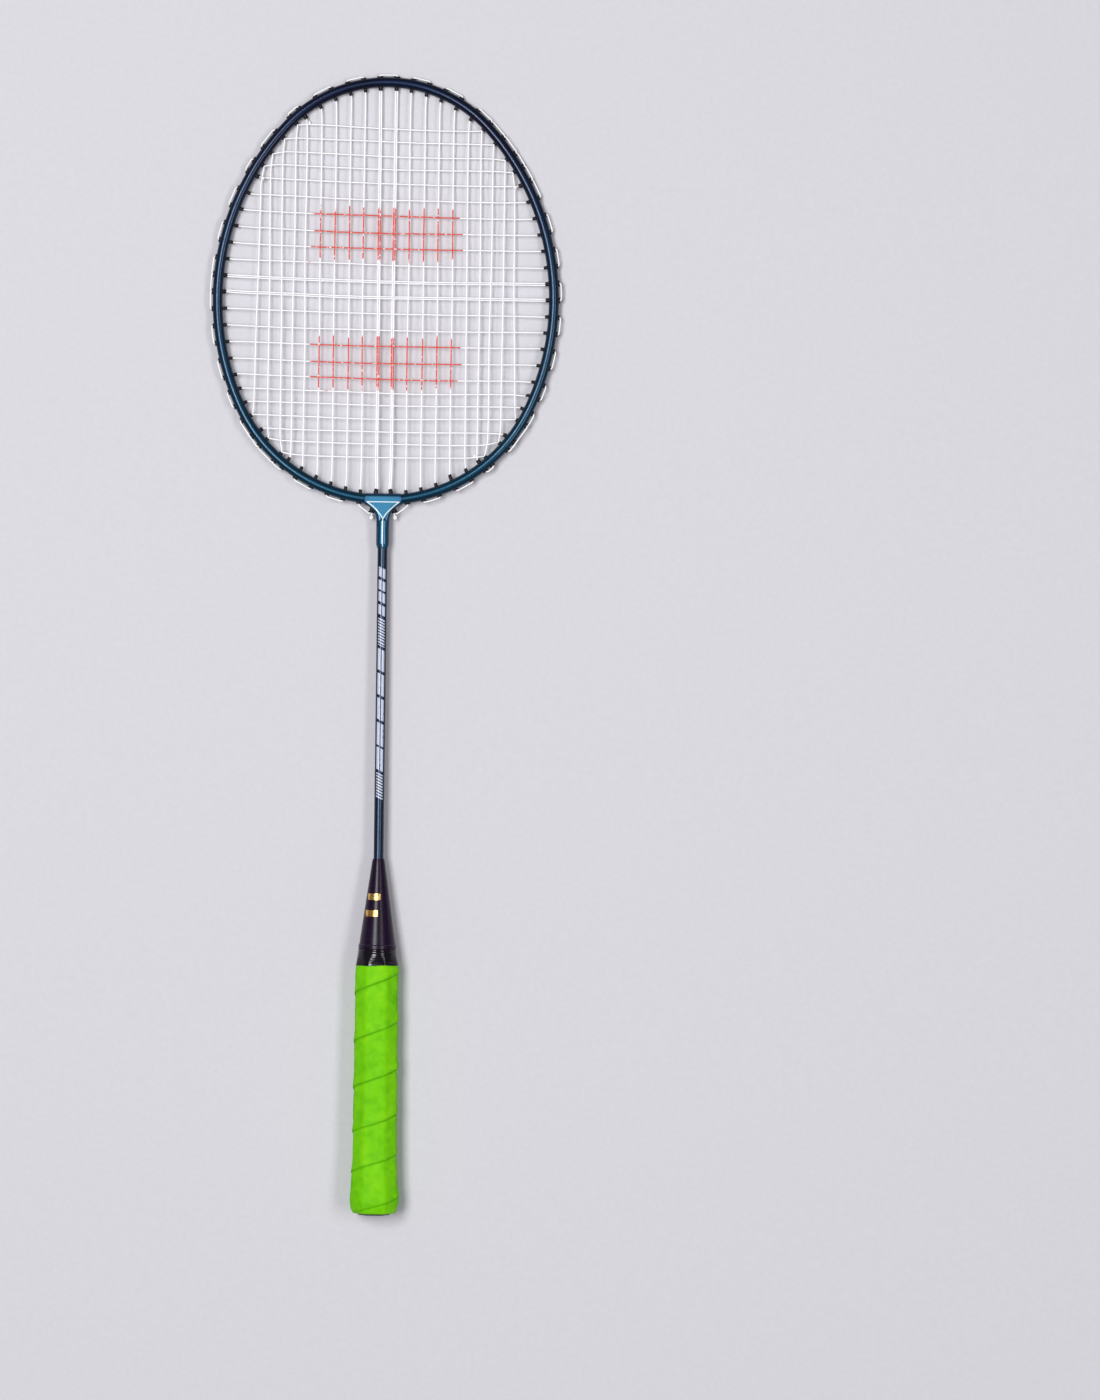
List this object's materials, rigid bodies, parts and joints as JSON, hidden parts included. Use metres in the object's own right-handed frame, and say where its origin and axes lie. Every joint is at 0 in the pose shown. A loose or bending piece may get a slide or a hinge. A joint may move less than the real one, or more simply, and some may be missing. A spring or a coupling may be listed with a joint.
{
  "type": "badminton racket",
  "caption": "Badminton racket with an egg-shaped steel head hoop, woven string bed, throat tee, slim shaft, cone cap and spiral-wrapped octagonal handle with a flared butt.",
  "frame": {"origin": "centre of the bounding box in plan, on the surface that the flared butt lies on: half way along the racket, below its axis", "axes": "+Y along the shaft from the butt to the head, +X across the head, +Z out of the string bed"},
  "size_m": [0.2057, 0.6658, 0.0265],
  "materials": {
    "navy_enamel": "metallic gloss enamel on steel tube",
    "teal_enamel": "metallic gloss enamel",
    "black_gloss": "moulded gloss",
    "tape_vinyl": "glossy adhesive tape",
    "grommet_nylon": "moulded nylon",
    "string_nylon": "braided nylon monofilament, white",
    "grip_green": "soft polyurethane grip strip",
    "handle_wood": "plain sanded",
    "pin_steel": "plain",
    "cap_black": "moulded, fine texture",
    "disc_grey": "satin disc, blank"
  },
  "bodies": {
    "root": {"hoop_tube": "navy_enamel", "throat_tee": "teal_enamel", "shaft_tube": "navy_enamel", "cone_cap": "black_gloss", "handle_core": "handle_wood", "shaft_pin": "pin_steel", "butt_cap": "cap_black", "butt_disc": "disc_grey", "grip_wrap": "grip_green", "finishing_tape": "tape_vinyl", "grommets_top": "grommet_nylon", "grommets_low": "grommet_nylon", "grommets_left": "grommet_nylon", "grommets_right": "grommet_nylon", "grommets_wide": "grommet_nylon", "grommets_tee": "grommet_nylon", "main_string": "string_nylon", "centre_strand": "string_nylon", "cross_string": "string_nylon", "string_knots": "string_nylon"}
  },
  "joints": []
}
